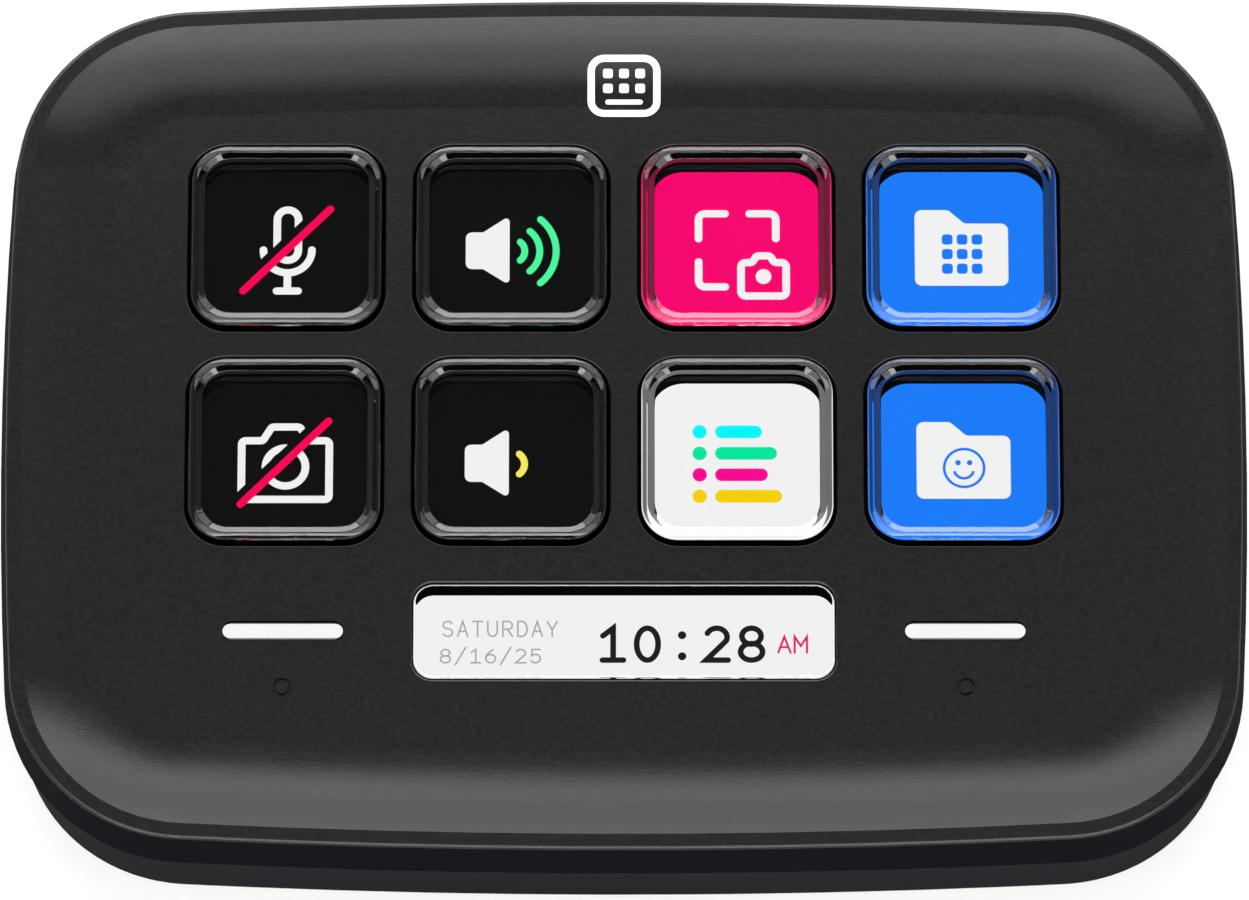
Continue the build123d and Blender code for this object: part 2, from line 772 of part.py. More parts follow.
# Packages that are plain blocks soldered on top: width, depth, height and centre on the board.
board_packages = {
    "controller_chip": (chip_size, chip_size, chip_height, chip_x, package_row_y),
    "memory_chip": (memory_length, memory_width, memory_height, memory_x, package_row_y),
    "regulator_chip": (
        regulator_size,
        regulator_size,
        regulator_height,
        regulator_x,
        package_row_y + regulator_y,
    ),
    "crystal": (crystal_length, crystal_width, crystal_height, crystal_x, package_row_y),
    "display_connector": (
        display_flex_width + 2 * connector_margin,
        connector_depth,
        connector_height,
        display_flex_x,
        connector_y,
    ),
    "key_connector": (
        key_flex_width + 2 * connector_margin,
        connector_depth,
        connector_height,
        key_flex_x,
        connector_y,
    ),
}
for name, (width, depth, height, x, y) in board_packages.items():
    with BuildPart() as package:
        with BuildSketch(at_height(main_top)):
            with Locations((x, y)):
                Rectangle(width, depth)
        extrude(amount=height)
        chamfer(package.faces().sort_by(Axis.Z)[-1].edges(), package_chamfer)
    save(package, name)

# USB socket: a drawn steel shell closed at the back, with the plastic tongue inside.
with BuildPart() as usb_socket:
    with BuildSketch(Plane.XZ.offset(-socket_mouth_y)):
        with Locations((0, socket_z)):
            SlotOverall(socket_width, socket_height)
    extrude(amount=socket_length)
    with BuildSketch(Plane.XZ.offset(-socket_mouth_y)):
        with Locations((0, socket_z)):
            SlotOverall(socket_width - 2 * socket_sheet, socket_height - 2 * socket_sheet)
    extrude(amount=socket_length - socket_sheet, mode=Mode.SUBTRACT)
save(usb_socket, "usb_socket")

tongue_back_y = socket_mouth_y - socket_length + socket_sheet
with BuildPart() as usb_tongue:
    with BuildSketch(Plane.XZ.offset(-tongue_back_y - tongue_root)):
        with Locations((0, socket_z)):
            SlotOverall(socket_width - 2 * socket_sheet, socket_height - 2 * socket_sheet)
    extrude(amount=tongue_root)
    with BuildSketch(Plane.XZ.offset(-tongue_back_y - tongue_root - tongue_length)):
        with Locations((0, socket_z)):
            Rectangle(tongue_width, tongue_thickness)
    extrude(amount=tongue_length)
save(usb_tongue, "usb_tongue")

# ------------------------------------------------------------------ flat cables
# Each is a flat ribbon bent in the plane across the face, from its board down to its connector.
section = Plane(origin=face.origin, x_dir=face.y_dir, z_dir=face.x_dir)
connector_top = section.to_local_coords(Vector(0, connector_y, main_top + connector_height))
above_connector = section.to_local_coords(Vector(0, connector_y, main_top + connector_height + flex_rise))


def ribbon(start, run_out, x, width):
    """Ribbon from a start point in (y, -depth) of the face, out over an edge, down to its connector."""
    edge = start[0] + run_out
    with BuildPart() as flat_cable:
        with BuildSketch(section.offset(x - width / 2)):
            with BuildLine():
                FilletPolyline(
                    start,
                    (edge, start[1]),
                    (edge, start[1] - flex_drop),
                    (above_connector.X, above_connector.Y),
                    (connector_top.X, connector_top.Y),
                    radius=flex_bend,
                )
            trace(line_width=flex_thickness)
        extrude(amount=width)
    return flat_cable


display_flex = ribbon(
    (display_shift + panel_depth / 2, -panel_under + flex_thickness),
    display_flex_run_out,
    display_flex_x,
    display_flex_width,
)
save(display_flex, "display_flex")
key_flex = ribbon(
    (board_depth / 2 - key_flex_lap, -board_under - flex_thickness / 2),
    key_flex_run_out,
    key_flex_x,
    key_flex_width,
)
save(key_flex, "key_flex")

# ------------------------------------------------------------------ screws


def screws(plane, spots, shank_radius, length, head_radius, head_height):
    """Socket-head screws, one solid each: heads stand on the plane, shanks run against its normal."""
    with BuildPart() as group:
        with BuildSketch(plane):
            with Locations(*spots):
                Circle(head_radius)
        extrude(amount=head_height)
        with BuildSketch(plane):
            with Locations(*spots):
                Circle(shank_radius)
        extrude(amount=-length)
        with BuildSketch(plane.offset(head_height)):
            with Locations(*spots):
                RegularPolygon(shank_radius, 6)
        extrude(amount=-head_height * socket_depth_share, mode=Mode.SUBTRACT)
    return group


def facing_down(plane):
    """The same plane seen from below, with its x axis kept."""
    return Plane(origin=plane.origin, x_dir=plane.x_dir, z_dir=-plane.z_dir)


def mirrored(spots):
    """Places on a plane that faces down, whose y axis is turned over."""
    return [(x, -y) for x, y in spots]


display_screws = screws(
    facing_down(at_depth(board_under + tray_sheet)),
    mirrored(display_post_spots),
    small_screw_radius,
    small_screw_length,
    small_head_radius,
    small_head_height,
)
save(display_screws, "display_screws")
case_screws = screws(
    facing_down(at_depth(seat_depth)),
    mirrored(case_post_spots),
    case_screw_radius,
    case_screw_length,
    case_head_radius,
    case_head_height,
)
save(case_screws, "case_screws")
main_board_screws = screws(
    at_height(main_top),
    main_screw_spots,
    small_screw_radius,
    small_screw_length,
    small_head_radius,
    small_head_height,
)
save(main_board_screws, "main_board_screws")
weight_screws = screws(
    at_height(floor_top + weight_thickness),
    weight_screw_spots,
    small_screw_radius,
    weight_thickness + weight_screw_bite,
    small_head_radius,
    small_head_height,
)
save(weight_screws, "weight_screws")
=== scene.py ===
import json

import bpy
import numpy as np
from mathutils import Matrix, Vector


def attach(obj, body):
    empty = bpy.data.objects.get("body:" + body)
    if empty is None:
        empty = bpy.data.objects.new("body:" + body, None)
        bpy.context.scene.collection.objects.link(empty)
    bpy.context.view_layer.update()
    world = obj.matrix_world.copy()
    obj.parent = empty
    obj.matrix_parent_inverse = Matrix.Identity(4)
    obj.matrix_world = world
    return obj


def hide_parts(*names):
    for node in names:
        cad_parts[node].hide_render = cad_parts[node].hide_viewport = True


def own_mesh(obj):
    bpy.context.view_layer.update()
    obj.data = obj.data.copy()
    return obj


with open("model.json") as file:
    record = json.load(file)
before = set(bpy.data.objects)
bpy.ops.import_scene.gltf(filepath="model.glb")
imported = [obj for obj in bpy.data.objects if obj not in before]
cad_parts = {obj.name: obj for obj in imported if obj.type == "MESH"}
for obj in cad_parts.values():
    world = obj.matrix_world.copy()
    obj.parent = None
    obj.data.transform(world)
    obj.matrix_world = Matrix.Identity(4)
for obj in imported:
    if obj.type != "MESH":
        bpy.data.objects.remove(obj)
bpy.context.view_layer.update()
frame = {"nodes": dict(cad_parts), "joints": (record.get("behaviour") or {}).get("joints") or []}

# ------------------------------------------------------------------ camera
# A long lens in front of the keypad and above it, square to its width. The keypad's face is
# tilted and nearly everything is square to it, so places on it are given in millimetres: u to
# the right, v to the rear, and depth down from the plane of the rim.
mm = 0.001
travel_axis = np.array(frame["joints"][0]["axis"])
outward = -travel_axis / np.linalg.norm(travel_axis)
across = np.array([1.0, 0.0, 0.0])
rearward = np.cross(outward, across)


def vertices(node):
    """All vertices of a solid of the frame, in metres."""
    mesh = frame["nodes"][node].data
    places = np.empty(len(mesh.vertices) * 3)
    mesh.vertices.foreach_get("co", places)
    return places.reshape(-1, 3)


shell_reach = vertices("top_shell") @ rearward
rim_height = (vertices("top_shell") @ outward).max()
face_origin = rearward * (shell_reach.max() + shell_reach.min()) / 2 + outward * rim_height

camera_tilt = np.radians(18.85)
camera_distance = 0.97285
view_direction = outward * np.cos(camera_tilt) - rearward * np.sin(camera_tilt)
camera_data = bpy.data.cameras.new("studio_camera")
camera_data.sensor_width = 36.0
camera_data.lens = 326.5
camera_data.shift_x = 0.0004
camera_data.shift_y = -0.0241
camera_data.clip_end = 100.0
camera = bpy.data.objects.new("studio_camera", camera_data)
camera.location = face_origin + view_direction * camera_distance
camera.rotation_euler = Vector(view_direction).to_track_quat("Z", "Y").to_euler()
bpy.context.scene.collection.objects.link(camera)
bpy.context.scene.camera = camera

# ------------------------------------------------------------------ studio
# A pale floor under a sky that is white at the horizon and dark overhead. Soft boxes in front and
# behind leave a dark gap overhead that the flat face mirrors, brighter strips beyond them light
# the steepest slopes, and a low strip in front draws the line of light along front edges.
sky_white = 0.9
sky_dark = 0.04
sky_fade = (0.55, 0.87)
floor_reach = 12.0
floor_clearance = 0.00002
glow_to_camera = 0.75
glow_to_gloss = 0.25
box_width = 2.2
box_distance = 2.0
strip_distance = 1.98


class Wire:
    """A node's output socket. Arithmetic with numbers or other wires adds Math nodes."""

    def __init__(self, nodes, socket):
        self.nodes = nodes
        self.socket = socket

    def maths(self, operation, other):
        return self.nodes.add("ShaderNodeMath", {"operation": operation}, {0: self, 1: other})

    def __add__(self, other):
        return self.maths("ADD", other)

    def __mul__(self, other):
        return self.maths("MULTIPLY", other)

    __radd__ = __add__
    __rmul__ = __mul__


class Nodes:
    """A node tree that is filled by formulas."""

    def __init__(self, tree):
        self.tree = tree
        tree.nodes.clear()

    def add(self, kind, settings=None, sockets=None, output=0):
        """A node of a kind: its settings first, then values or wires for its sockets."""
        node = self.tree.nodes.new(kind)
        for name, value in (settings or {}).items():
            setattr(node, name, value)
        for name, value in (sockets or {}).items():
            if isinstance(value, Wire):
                self.tree.links.new(value.socket, node.inputs[name])
            else:
                node.inputs[name].default_value = value
        return Wire(self, node.outputs[output]) if node.outputs else None

    def noise(self, grain, detail=2.0, roughness=0.5):
        """Noise from 0 to 1 whose grains are about that many millimetres across."""
        sockets = {
            "Vector": self.add("ShaderNodeTexCoord", output="Object"),
            "Scale": 1 / (grain * mm),
            "Detail": detail,
            "Roughness": roughness,
        }
        return self.add("ShaderNodeTexNoise", {}, sockets)

    def step(self, value, low, high, to_low=0.0, to_high=1.0):
        """A smooth step of a value between two limits."""
        sockets = {
            "Value": value,
            "From Min": low,
            "From Max": high,
            "To Min": to_low,
            "To Max": to_high,
        }
        return self.add("ShaderNodeMapRange", {"interpolation_type": "SMOOTHSTEP"}, sockets)

    def blend(self, share, first, second):
        """A mix of two colours, which the Mix node takes at sockets 6 and 7 and gives at output 2."""
        sockets = {0: share, 6: first, 7: second}
        return self.add("ShaderNodeMix", {"data_type": "RGBA"}, sockets, output=2)

    def mixed(self, share, first, second):
        """Two shaders, with the second one over a share of the first."""
        return self.add("ShaderNodeMixShader", {}, {0: share, 1: first, 2: second})

    def relief(self, height, depth):
        """A normal bumped by a height from 0 to 1 that stands for a depth in millimetres."""
        sockets = {"Height": height, "Distance": depth * mm, "Strength": 1.0}
        return self.add("ShaderNodeBump", {}, sockets)

    def facing(self, axis):
        """How far the surface faces an axis: the cosine of the angle to its normal."""
        sockets = {0: self.add("ShaderNodeNewGeometry", output="Normal"), 1: tuple(axis)}
        return self.add("ShaderNodeVectorMath", {"operation": "DOT_PRODUCT"}, sockets, output="Value")

    def surface(self, sockets, over=None, share=None):
        """The Principled surface, led to the output, with a second one over a share of it."""
        shader = self.add("ShaderNodeBsdfPrincipled", {}, sockets)
        if over:
            shader = self.mixed(share, shader, self.add("ShaderNodeBsdfPrincipled", {}, over))
        self.add("ShaderNodeOutputMaterial", {}, {"Surface": shader})


def new_finish(name):
    """A material and its empty node tree."""
    material = bpy.data.materials.new(name)
    material.use_nodes = True
    return material, Nodes(material.node_tree)


world = bpy.data.worlds.new("studio")
world.use_nodes = True
bpy.context.scene.world = world
sky = Nodes(world.node_tree)
direction = sky.add("ShaderNodeTexCoord", output="Generated")
rise = sky.add("ShaderNodeSeparateXYZ", {}, {"Vector": direction}, output="Z")
brightness = sky.step(rise, *sky_fade, sky_white, sky_dark)
background = sky.add("ShaderNodeBackground", {}, {"Color": (1, 1, 1, 1), "Strength": brightness})
sky.add("ShaderNodeOutputWorld", {}, {"Surface": background})

# The floor is lit paper from above and clear from below.
floor_finish, nodes = new_finish("studio_floor")
paper = nodes.add("ShaderNodeBsdfDiffuse", {}, {
    "Color": nodes.blend(nodes.noise(60.0), (0.86, 0.86, 0.86, 1), (0.88, 0.88, 0.88, 1)),
})
white_light = nodes.add("ShaderNodeEmission", {}, {"Color": (1, 1, 1, 1), "Strength": 1.0})
seen, in_gloss, through = (nodes.add("ShaderNodeLightPath", output=ray)
                           for ray in ("Is Camera Ray", "Is Glossy Ray", "Is Transmission Ray"))
glow = glow_to_camera * seen + glow_to_gloss * in_gloss + glow_to_camera * through
lit_paper = nodes.mixed(glow, paper, white_light)
from_below = nodes.add("ShaderNodeNewGeometry", output="Backfacing")
nothing = nodes.add("ShaderNodeBsdfTransparent")
one_sided = nodes.mixed(from_below, lit_paper, nothing)
nodes.add("ShaderNodeOutputMaterial", {}, {"Surface": one_sided})
floor_mesh = bpy.data.meshes.new("floor")
floor_corners = np.array([[-1, -1, 0], [1, -1, 0], [1, 1, 0], [-1, 1, 0]]) * floor_reach
floor_corners[:, 2] -= floor_clearance
floor_mesh.from_pydata(floor_corners.tolist(), [], [[0, 1, 2, 3]])
floor_mesh.materials.append(floor_finish)
floor = bpy.data.objects.new("floor", floor_mesh)
bpy.context.scene.collection.objects.link(floor)


def soft_box(name, lean, height, radiance, distance=box_distance):
    """An area lamp that leans from straight up towards the front, by an angle in degrees."""
    lean = np.radians(lean)
    away = np.array([0.0, -np.sin(lean), np.cos(lean)])
    lamp = bpy.data.lights.new(name, "AREA")
    lamp.shape = "RECTANGLE"
    lamp.size = box_width
    lamp.size_y = height
    lamp.energy = radiance * np.pi * box_width * height
    lamp_object = bpy.data.objects.new(name, lamp)
    lamp_object.location = away * distance
    lamp_object.rotation_euler = Vector(away).to_track_quat("Z", "Y").to_euler()
    bpy.context.scene.collection.objects.link(lamp_object)


soft_box("front_box", lean=15.0, height=0.49, radiance=3.5)
soft_box("front_box_edge", lean=2.0, height=0.42, radiance=1.7)
soft_box("front_strip", lean=20.0, height=0.14, radiance=6.0, distance=strip_distance)
soft_box("rear_box_edge", lean=-22.5, height=0.35, radiance=3.4)
soft_box("rear_box", lean=-34.5, height=0.39, radiance=2.5)
soft_box("rear_strip", lean=-47.5, height=0.46, radiance=8.0, distance=strip_distance)
soft_box("low_strip", lean=45.0, height=0.35, radiance=9.0)

bpy.context.scene.view_settings.view_transform = "Standard"

# ------------------------------------------------------------------ base housing
# The lower half is one moulding of black plastic with a satin skin, smoother than the cover's.
# It carries everything and closes against the cover in a fine seam.
base_finish, nodes = new_finish("base_satin")
grain = nodes.noise(0.35, 3.0)
clouds = nodes.noise(14.0)
nodes.surface({
    "Base Color": nodes.blend(clouds, (0.0075, 0.0088, 0.0108, 1), (0.009, 0.0104, 0.0124, 1)),
    "Roughness": 0.45 + 0.08 * grain,
    "Specular IOR Level": 0.0,
    "Coat Weight": 0.03 + 0.02 * clouds,
    "Coat Roughness": 0.18,
    "Normal": nodes.relief(grain, 0.004),
})


def dress(node, finish):
    """Give a solid of the frame its finish."""
    mesh = frame["nodes"][node].data
    if not mesh.materials:
        mesh.materials.append(finish)
    for index in range(len(mesh.materials)):
        mesh.materials[index] = finish


dress("base_shell", base_finish)

# ------------------------------------------------------------------ foot and weight
# A ring of soft rubber, bonded into the underside, keeps the keypad from sliding. A zinc-plated
# steel plate, screwed to the floor of the base, gives it weight. All screws are blackened steel.
foot_finish, nodes = new_finish("foot_rubber")
grain = nodes.noise(0.5, 4.0)
nodes.surface({
    "Base Color": nodes.blend(nodes.noise(5.0), (0.018, 0.018, 0.019, 1), (0.028, 0.028, 0.029, 1)),
    "Roughness": 0.78 + 0.12 * grain,
    "Normal": nodes.relief(grain, 0.03),
})
dress("foot_pad", foot_finish)

plated_finish, nodes = new_finish("plated_steel")
spangle = nodes.noise(2.5, 5.0)
nodes.surface({
    "Base Color": nodes.blend(spangle, (0.33, 0.33, 0.34, 1), (0.5, 0.5, 0.49, 1)),
    "Metallic": 1.0,
    "Roughness": 0.3 + 0.25 * spangle,
})
dress("weight_plate", plated_finish)

screw_finish, nodes = new_finish("blackened_steel")
wear = nodes.noise(0.4, 3.0)
nodes.surface({
    "Base Color": nodes.blend(wear, (0.05, 0.05, 0.052, 1), (0.16, 0.16, 0.165, 1)),
    "Metallic": 1.0,
    "Roughness": 0.35 + 0.2 * wear,
})
for node in ("weight_screws", "main_board_screws", "display_screws", "case_screws"):
    dress(node, screw_finish)

# ------------------------------------------------------------------ main board
# Green laminate under solder mask, screwed into the base, with epoxy packages, a plated crystal
# and the socket soldered on. Amber ribbon cables in ivory connectors lead up to the display and
# to the key board.
board_finish, nodes = new_finish("board_laminate")
weave = nodes.noise(0.8, 3.0)
nodes.surface({
    "Base Color": nodes.blend(weave, (0.006, 0.035, 0.02, 1), (0.012, 0.07, 0.035, 1)),
    "Roughness": 0.35 + 0.15 * weave,
    "Normal": nodes.relief(weave, 0.01),
})
dress("main_board", board_finish)

package_finish, nodes = new_finish("package_epoxy")
speckle = nodes.noise(0.15, 2.0)
nodes.surface({
    "Base Color": nodes.blend(speckle, (0.012, 0.012, 0.013, 1), (0.03, 0.03, 0.03, 1)),
    "Roughness": 0.55 + 0.2 * speckle,
})
for node in ("controller_chip", "memory_chip", "regulator_chip", "usb_tongue"):
    dress(node, package_finish)

nickel_finish, nodes = new_finish("nickel_plate")
draw_lines = nodes.noise(0.6, 3.0)
nodes.surface({
    "Base Color": nodes.blend(draw_lines, (0.55, 0.54, 0.52, 1), (0.7, 0.69, 0.66, 1)),
    "Metallic": 1.0,
    "Roughness": 0.18 + 0.15 * draw_lines,
})
for node in ("usb_socket", "crystal"):
    dress(node, nickel_finish)

connector_finish, nodes = new_finish("connector_ivory")
speckle = nodes.noise(0.3, 2.0)
nodes.surface({
    "Base Color": nodes.blend(speckle, (0.62, 0.56, 0.43, 1), (0.72, 0.67, 0.55, 1)),
    "Roughness": 0.45 + 0.15 * speckle,
})
for node in ("display_connector", "key_connector"):
    dress(node, connector_finish)

cable_finish, nodes = new_finish("cable_amber")
ripple = nodes.noise(1.2, 2.0)
nodes.surface({
    "Base Color": nodes.blend(ripple, (0.25, 0.09, 0.015, 1), (0.42, 0.17, 0.03, 1)),
    "Roughness": 0.25 + 0.15 * ripple,
})
for node in ("display_flex", "key_flex"):
    dress(node, cable_finish)

# ------------------------------------------------------------------ display stack
# A bright metal tray holds a white reflector, a light guide, lamps and a diffuser under one
# colour display. A black film on the glass leaves windows for keys, info strip and light bars.
dress("display_frame", nickel_finish)

film_finish, nodes = new_finish("film_white")
fibre = nodes.noise(0.7, 4.0)
nodes.surface({
    "Base Color": nodes.blend(fibre, (0.78, 0.78, 0.77, 1), (0.86, 0.86, 0.86, 1)),
    "Roughness": 0.6 + 0.2 * fibre,
})
for node in ("reflector_sheet", "diffuser_sheet", "backlight_leds", "light_guide"):
    dress(node, film_finish)

mask_finish, nodes = new_finish("mask_film")
dust = nodes.noise(0.6, 3.0)
nodes.surface({
    "Base Color": nodes.blend(dust, (0.001, 0.001, 0.001, 1), (0.003, 0.003, 0.003, 1)),
    "Roughness": 0.5 + 0.2 * dust,
})
dress("display_mask", mask_finish)

glass_finish, nodes = new_finish("display_glass")
tint = nodes.noise(8.0, 2.0)
nodes.surface({
    "Base Color": nodes.blend(tint, (0.004, 0.004, 0.005, 1), (0.007, 0.007, 0.008, 1)),
    "Roughness": 0.08 + 0.06 * tint,
})
dress("lcd_panel", glass_finish)

# ------------------------------------------------------------------ display picture
# What the display shows: a lit tile with a symbol under each key and a clock in the info strip.
# Every shape is a flat layer of light just above the glass, drawn in millimetres.
def on_face(u, v, depth):
    """Face coordinates to metres: the origin plus u across, v rearward and depth inward."""
    u, v, depth = np.broadcast_arrays(u, v, depth)
    return face_origin + mm * (
        u[..., None] * across + v[..., None] * rearward - depth[..., None] * outward
    )


def extent(node):
    """Lowest and highest u, v and depth of a solid of the frame."""
    local = (vertices(node) - face_origin) / mm
    places = np.stack([local @ across, local @ rearward, -(local @ outward)], axis=1)
    return places.min(0), places.max(0)


def colour(red, green, blue):
    """A colour given on the display scale of 0 to 255, as linear light with full alpha."""
    share = np.array([red, green, blue]) / 255
    linear = np.where(share > 0.04045, ((share + 0.055) / 1.055) ** 2.4, share / 12.92)
    return (*linear.tolist(), 1.0)


def lit_finish(name, tone, unevenness=0.02):
    """Light of a colour, with the faint unevenness of a backlight, that mirrors nothing."""
    finish, nodes = new_finish(name)
    cloud = nodes.noise(6.0, 2.0)
    dimmed = tuple(channel * (1 - unevenness) for channel in tone[:3]) + (1.0,)
    nodes.surface({
        "Base Color": (0.002, 0.002, 0.002, 1),
        "Roughness": 0.5,
        "Specular IOR Level": 0.0,
        "Emission Color": nodes.blend(cloud, dimmed, tone),
        "Emission Strength": 1.0,
    })
    return finish


light_tones = {
    "white": (247, 247, 248),
    "black": (13, 13, 13),
    "ink": (30, 30, 30),
    "pink": (255, 0, 114),
    "red": (255, 0, 84),
    "rose": (236, 10, 108),
    "blue": (26, 126, 254),
    "green": (76, 250, 158),
    "yellow": (255, 238, 100),
    "cyan": (0, 250, 255),
    "leaf": (0, 235, 160),
    "plum": (255, 0, 150),
    "amber": (255, 214, 0),
    "grey": (170, 170, 170),
}
light = {name: lit_finish(f"light_{name}", colour(*tone)) for name, tone in light_tones.items()}


def arc(centre, radius, start, end, steps=25):
    """Points on a circle, or on an ellipse if radius is a pair, between two angles in degrees."""
    angle = np.radians(np.linspace(start, end, steps))
    return np.array(centre) + np.stack([np.cos(angle), np.sin(angle)], 1) * np.array(radius)


def circle(centre, radius, steps=61):
    """The closed outline of a circle, without the last point, which repeats the first."""
    return arc(centre, radius, 0, 360, steps)[:-1]


def rounded(corners, radius, steps=7):
    """A closed outline whose corners are arcs that touch both sides.

    The radius is one number or a list with one for each corner. The arc's centre lies on the line
    that halves the corner, radius / sin(half) away, and the arc turns by what the corner lacks to
    a straight angle.
    """
    corners = np.array(corners, float)
    radius = np.broadcast_to(np.array(radius, float), len(corners))
    before = np.roll(corners, 1, axis=0) - corners
    after = np.roll(corners, -1, axis=0) - corners
    before /= np.linalg.norm(before, axis=1, keepdims=True)
    after /= np.linalg.norm(after, axis=1, keepdims=True)
    half = np.arccos(np.clip((before * after).sum(1), -1, 1)) / 2
    middle = (before + after) / np.linalg.norm(before + after, axis=1, keepdims=True)
    centres = corners + middle * (radius / np.sin(half))[:, None]
    first = corners + before * (radius / np.tan(half))[:, None] - centres
    side = np.sign(before[:, 0] * after[:, 1] - before[:, 1] * after[:, 0])
    start = np.arctan2(first[:, 1], first[:, 0])
    turn = -side * (np.pi - 2 * half)
    angle = start[:, None] + turn[:, None] * np.linspace(0, 1, steps)
    spokes = np.stack([np.cos(angle), np.sin(angle)], axis=2)
    return (centres[:, None, :] + radius[:, None, None] * spokes).reshape(-1, 2)


def box_corners(left, bottom, right, top):
    """The corners of an upright rectangle, anticlockwise."""
    return [(left, bottom), (right, bottom), (right, top), (left, top)]


def filled(outline):
    """One flat face inside a closed outline, turned so that it faces outwards."""
    x, y = outline[:, 0], outline[:, 1]
    area = (x * np.roll(y, -1) - y * np.roll(x, -1)).sum()
    outline = outline if area > 0 else outline[::-1]
    return outline, [list(range(len(outline)))]


def soft_square(x, y, half, radius):
    """A filled square about a place, with rounded corners."""
    return filled(rounded(box_corners(x - half, y - half, x + half, y + half), radius))


def bent(path, radius, steps=7):
    """An open path whose inner corners are arcs."""
    return np.vstack([path[:1], rounded(path, radius, steps)[steps:-steps], path[-1:]])


def stroke(path, pen, closed=False, steps=7):
    """A pen line: the path moved by half the pen to both sides and mitred where it turns.

    At an open end the centre runs on by pen / 2 * sin(angle) while the half width shrinks by
    cos(angle), which makes the end half round.
    """
    path = np.array(path, float)
    runs = np.diff(np.vstack([path, path[:1]]) if closed else path, axis=0)
    runs /= np.linalg.norm(runs, axis=1, keepdims=True)
    into = np.roll(runs, 1, axis=0) if closed else np.vstack([runs[:1], runs])
    out = runs if closed else np.vstack([runs, runs[-1:]])
    ahead = (into + out) / np.linalg.norm(into + out, axis=1, keepdims=True)
    half = pen / 2 / (ahead * out).sum(1)
    if not closed:
        angle = np.radians(np.linspace(0, 85, steps))[1:]
        run_on = pen / 2 * np.sin(angle)[:, None]
        narrowed = pen / 2 * np.cos(angle)
        path = np.vstack([(path[0] - run_on * runs[0])[::-1], path, path[-1] + run_on * runs[-1]])
        ahead = np.vstack([ahead[:1].repeat(steps - 1, 0), ahead, ahead[-1:].repeat(steps - 1, 0)])
        half = np.concatenate([narrowed[::-1], half, narrowed])
    left = np.stack([-ahead[:, 1], ahead[:, 0]], axis=1) * half[:, None]
    count = len(path)
    here = np.arange(count if closed else count - 1)
    there = (here + 1) % count
    faces = np.stack([here + count, there + count, there, here], axis=1)
    return np.vstack([path + left, path - left]), faces.tolist()


def merged(drawings):
    """Several drawings as one set of points and faces."""
    starts = np.cumsum([0] + [len(points) for points, faces in drawings])
    faces = [[start + corner for corner in face]
             for start, (points, faces) in zip(starts, drawings) for face in faces]
    return np.vstack([points for points, faces in drawings]), faces


def new_piece(name, places, faces, finishes, body="root", finish_of_face=None, sharp=None):
    """A mesh object from places in metres, which rides on a body.

    With more than one finish, each face has the number of its own. With an angle in degrees the
    mesh is smooth but for edges that turn by more.
    """
    mesh = bpy.data.meshes.new(name)
    mesh.from_pydata(np.asarray(places).reshape(-1, 3).tolist(), [], faces)
    for finish in finishes:
        mesh.materials.append(finish)
    if finish_of_face is not None:
        mesh.polygons.foreach_set("material_index", finish_of_face)
    if sharp:
        mesh.shade_smooth()
        mesh.set_sharp_from_angle(angle=np.radians(sharp))
    piece = bpy.data.objects.new(name, mesh)
    bpy.context.scene.collection.objects.link(piece)
    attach(piece, body)
    return piece


glass_depth = extent("lcd_panel")[0][2]
layer = 0.012
tile_level, symbol_level, inlay_level, slash_level = 1, 2, 3, 4


def show(name, drawings, spot, level, finish):
    """Put drawings on the display: about a spot, a number of layers above the glass."""
    points, faces = merged(drawings)
    places = on_face(spot[0] + points[:, 0], spot[1] + points[:, 1], glass_depth - level * layer)
    new_piece(name, places, faces, [finish])


key_count = len(frame["joints"])
key_numbers = range(1, key_count + 1)
key_extents = {number: extent(f"key_cap_{number}") for number in key_numbers}
key_spots = {number: ((low + high) / 2)[:2] for number, (low, high) in key_extents.items()}
symbol_shift = np.array([0.0, -0.15])
symbol_spots = {number: spot + symbol_shift for number, spot in key_spots.items()}

# Tiles, with tighter corners in front than behind.
tile_half = 7.45
tile_rear = 7.17
tile_radii = [1.6, 1.6, 2.9, 2.9]
tile_steps = 13
tile_lights = dict(zip(key_numbers, ("black", "black", "pink", "blue", "black", "black", "white", "blue")))
tile = filled(rounded(box_corners(-tile_half, -tile_half, tile_half, tile_rear), tile_radii, tile_steps))
for number in key_numbers:
    show(f"tile_{number}", [tile], key_spots[number], tile_level, light[tile_lights[number]])

# Microphone: a capsule in a cradle on a stand, struck through.
pen = 0.66
capsule_half = 0.92
capsule_top = 3.68 - capsule_half
capsule_bottom = -0.96 + capsule_half
capsule_ends = [
    arc((0, capsule_top), capsule_half, 0, 180),
    arc((0, capsule_bottom), capsule_half, 180, 360),
]
cradle_middle = (0, -0.01)
cradle_radius = 2.1
stem_top = -2.13
stand_level = -3.78
stand_half = 0.93
microphone = [
    stroke(np.vstack(capsule_ends), pen, closed=True),
    stroke(arc(cradle_middle, cradle_radius, 180, 360, 33), pen),
    stroke([(0, stem_top), (0, stand_level)], pen),
    stroke([(-stand_half, stand_level), (stand_half, stand_level)], pen),
]
slash = np.array([(-3.83, -3.77), (3.68, 3.75)])
slash_gap = np.array([-0.46, 0.46])
show("key_1_microphone", microphone, key_spots[1], symbol_level, light["white"])
show("key_1_gap", [stroke(slash + slash_gap, pen)], key_spots[1], inlay_level, light["black"])
show("key_1_slash", [stroke(slash, pen)], key_spots[1], slash_level, light["red"])

